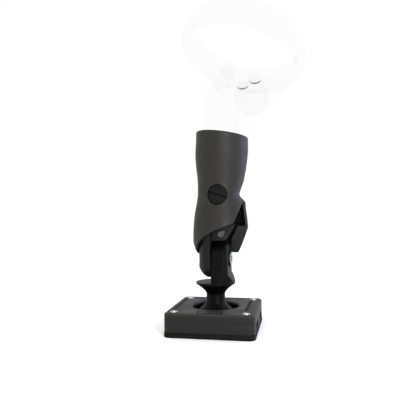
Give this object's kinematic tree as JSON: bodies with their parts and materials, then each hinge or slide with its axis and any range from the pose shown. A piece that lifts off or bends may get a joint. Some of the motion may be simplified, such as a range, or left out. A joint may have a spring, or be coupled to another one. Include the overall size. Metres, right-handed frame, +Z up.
{
  "type": "vr motion controller",
  "caption": "Translucent ring-topped motion controller seated in a black grip sleeve on a hinged desktop joystick mount with a square base.",
  "frame": {"origin": "centre of the base's underside, on the surface it stands on", "axes": "+Z up along the upright stick, -Y towards the front face with the lock plug, +X to the viewer's right along the grip hinge"},
  "size_m": [0.1095, 0.1116, 0.2408],
  "materials": {
    "foot_rubber": "matt moulded rubber",
    "base_plastic": "fine-grained moulded plastic",
    "brass_screw": "bright, faintly warm steel",
    "brass": "knurled brass",
    "gimbal_metal": "bead-blasted",
    "spring_steel": "drawn wire",
    "stick_plastic": "fine-grained moulded plastic",
    "bolt_steel": "polished steel",
    "nut_steel": "machined",
    "washer_fibre": "pressed fibre",
    "liner_foam": "soft moulded liner",
    "sleeve_plastic": "satin moulded plastic",
    "plug_plastic": "satin moulded plastic",
    "ghost_shell": "clear-white satin plastic",
    "button_white": "satin moulded plastic",
    "ghost_face": "clear-white plastic, a little denser",
    "ghost_inner": "pale ghosted inner part",
    "button_dark": "matt moulded plastic"
  },
  "bodies": {
    "base": {"rubber_foot": "foot_rubber", "base_lower_shell": "base_plastic", "base_upper_shell": "base_plastic", "corner_screws": "brass_screw", "threaded_inserts": "brass", "gimbal_yoke": "gimbal_metal"},
    "gimbal": {"gimbal_cross": "gimbal_metal", "pitch_springs": "spring_steel", "roll_springs": "spring_steel"},
    "stick": {"stick_neck": "stick_plastic", "hinge_bolt": "bolt_steel", "hinge_nut": "nut_steel", "friction_washers": "washer_fibre"},
    "grip": {"grip_core": "stick_plastic", "core_screw": "bolt_steel", "sleeve_liner": "liner_foam", "grip_sleeve": "sleeve_plastic"},
    "lock": {"lock_plug": "plug_plastic"},
    "controller": {"handle_shell": "ghost_shell", "handle_end_cap": "ghost_shell", "battery_door": "ghost_shell", "battery_cell": "ghost_inner", "battery_spring": "ghost_inner", "battery_contact": "ghost_inner", "head_shell": "ghost_shell", "face_plate": "ghost_face", "main_board": "ghost_inner", "haptic_motor": "ghost_inner", "ring_outer_shell": "ghost_shell", "ring_inner_shell": "ghost_shell", "led_strip": "ghost_inner", "thumbstick_housing": "ghost_inner", "thumbstick_yoke": "ghost_inner", "trigger_pin": "ghost_inner", "trigger_spring": "ghost_inner", "grip_pin": "ghost_inner", "grip_spring": "ghost_inner"},
    "thumb_pivot": {"thumbstick_cross": "ghost_inner"},
    "thumbstick": {"thumbstick_dome": "ghost_face", "thumbstick_stem": "ghost_face", "thumbstick_cap": "ghost_face"},
    "button_a": {"button_a_cap": "button_white", "button_a_base": "button_dark"},
    "button_b": {"button_b_cap": "button_white", "button_b_base": "button_dark"},
    "menu": {"menu_button": "ghost_face"},
    "trigger_lever": {"trigger": "ghost_face"},
    "grip_lever": {"grip_button": "ghost_shell"}
  },
  "joints": [
    {"name": "stick_pitch", "type": "hinge", "parent": "base", "child": "gimbal", "pos_m": [0, 0, 0.01], "axis": [1, 0, 0], "range_deg": [-14, 14], "stiffness_Nm_per_rad": 6},
    {"name": "stick_roll", "type": "hinge", "parent": "gimbal", "child": "stick", "pos_m": [0, 0, 0.01], "axis": [0, 1, 0], "range_deg": [-14, 14], "stiffness_Nm_per_rad": 6},
    {"name": "grip_tilt", "type": "hinge", "parent": "stick", "child": "grip", "pos_m": [0, 0, 0.057], "axis": [1, 0, 0], "range_deg": [-30, 45]},
    {"name": "lock_turn", "type": "hinge", "parent": "grip", "child": "lock", "pos_m": [0.0052, 0, 0.1087], "axis": [0, -1, 0], "range_deg": [0, 90]},
    {"name": "controller_lift", "type": "slide", "parent": "grip", "child": "controller", "axis": [0, 0, 1], "range_m": [0, 0.04]},
    {"name": "thumb_pitch", "type": "hinge", "parent": "controller", "child": "thumb_pivot", "pos_m": [0.01485, -0.01603, 0.19403], "axis": [0.999, 0, 0.0454], "range_deg": [-18, 18], "stiffness_Nm_per_rad": 0.05},
    {"name": "thumb_roll", "type": "hinge", "parent": "thumb_pivot", "child": "thumbstick", "pos_m": [0.01485, -0.01603, 0.19403], "axis": [0.0101, 0.9751, -0.2213], "range_deg": [-18, 18], "stiffness_Nm_per_rad": 0.05},
    {"name": "button_a_press", "type": "slide", "parent": "controller", "child": "button_a", "axis": [0.0442, -0.2215, -0.9741], "range_m": [0, 0.0012], "stiffness_N_per_m": 300, "springref_m": -0.0015},
    {"name": "button_b_press", "type": "slide", "parent": "controller", "child": "button_b", "axis": [0.0442, -0.2215, -0.9741], "range_m": [0, 0.0012], "stiffness_N_per_m": 300, "springref_m": -0.0015},
    {"name": "menu_press", "type": "slide", "parent": "controller", "child": "menu", "axis": [0.0442, -0.2215, -0.9741], "range_m": [0, 0.0008], "stiffness_N_per_m": 300, "springref_m": -0.0015},
    {"name": "trigger_pull", "type": "hinge", "parent": "controller", "child": "trigger_lever", "pos_m": [0.0323, -0.015, 0.18801], "axis": [0.9903, 0.1392, 0], "range_deg": [0, 12], "stiffness_Nm_per_rad": 0.15, "springref_deg": -11.46},
    {"name": "grip_squeeze", "type": "hinge", "parent": "controller", "child": "grip_lever", "pos_m": [0.01852, 0.00181, 0.1617], "axis": [0, 0, -1], "range_deg": [0, 6], "stiffness_Nm_per_rad": 0.15, "springref_deg": -11.46}
  ]
}
